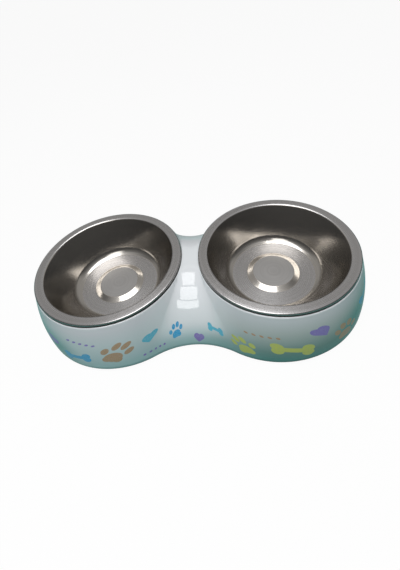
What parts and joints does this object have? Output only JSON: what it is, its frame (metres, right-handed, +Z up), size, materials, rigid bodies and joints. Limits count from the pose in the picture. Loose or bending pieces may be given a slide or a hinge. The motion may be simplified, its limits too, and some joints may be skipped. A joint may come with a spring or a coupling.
{
  "type": "double pet bowl",
  "caption": "Double pet feeding stand: two round rimmed steel bowls resting in a low moulded peanut-shaped stand on rubber feet.",
  "frame": {"origin": "on the table, under the middle of the stand", "axes": "+X from the left bowl's centre to the right bowl's, +Y towards the back, +Z up"},
  "size_m": [0.3472, 0.1806, 0.0593],
  "materials": {
    "stand_melamine": "glossy moulded melamine, white fading to pale aqua at the foot, with a small printed pattern under the gloss",
    "bowl_steel": "spun and brushed stainless sheet, satin floor and rim, darker polished side wall",
    "foot_rubber": "matt moulded rubber"
  },
  "bodies": {
    "stand": {"stand": "stand_melamine", "left_foot_front_inner": "foot_rubber", "left_foot_front_outer": "foot_rubber", "left_foot_back_outer": "foot_rubber", "left_foot_back_inner": "foot_rubber", "right_foot_back_inner": "foot_rubber", "right_foot_back_outer": "foot_rubber", "right_foot_front_outer": "foot_rubber", "right_foot_front_inner": "foot_rubber"},
    "left_bowl": {"left_bowl": "bowl_steel"},
    "right_bowl": {"right_bowl": "bowl_steel"}
  },
  "joints": [
    {"name": "left_bowl_lift", "type": "slide", "parent": "stand", "child": "left_bowl", "axis": [0, 0, 1], "range_m": [0, 0.06]},
    {"name": "right_bowl_lift", "type": "slide", "parent": "stand", "child": "right_bowl", "axis": [0, 0, 1], "range_m": [0, 0.06]}
  ]
}
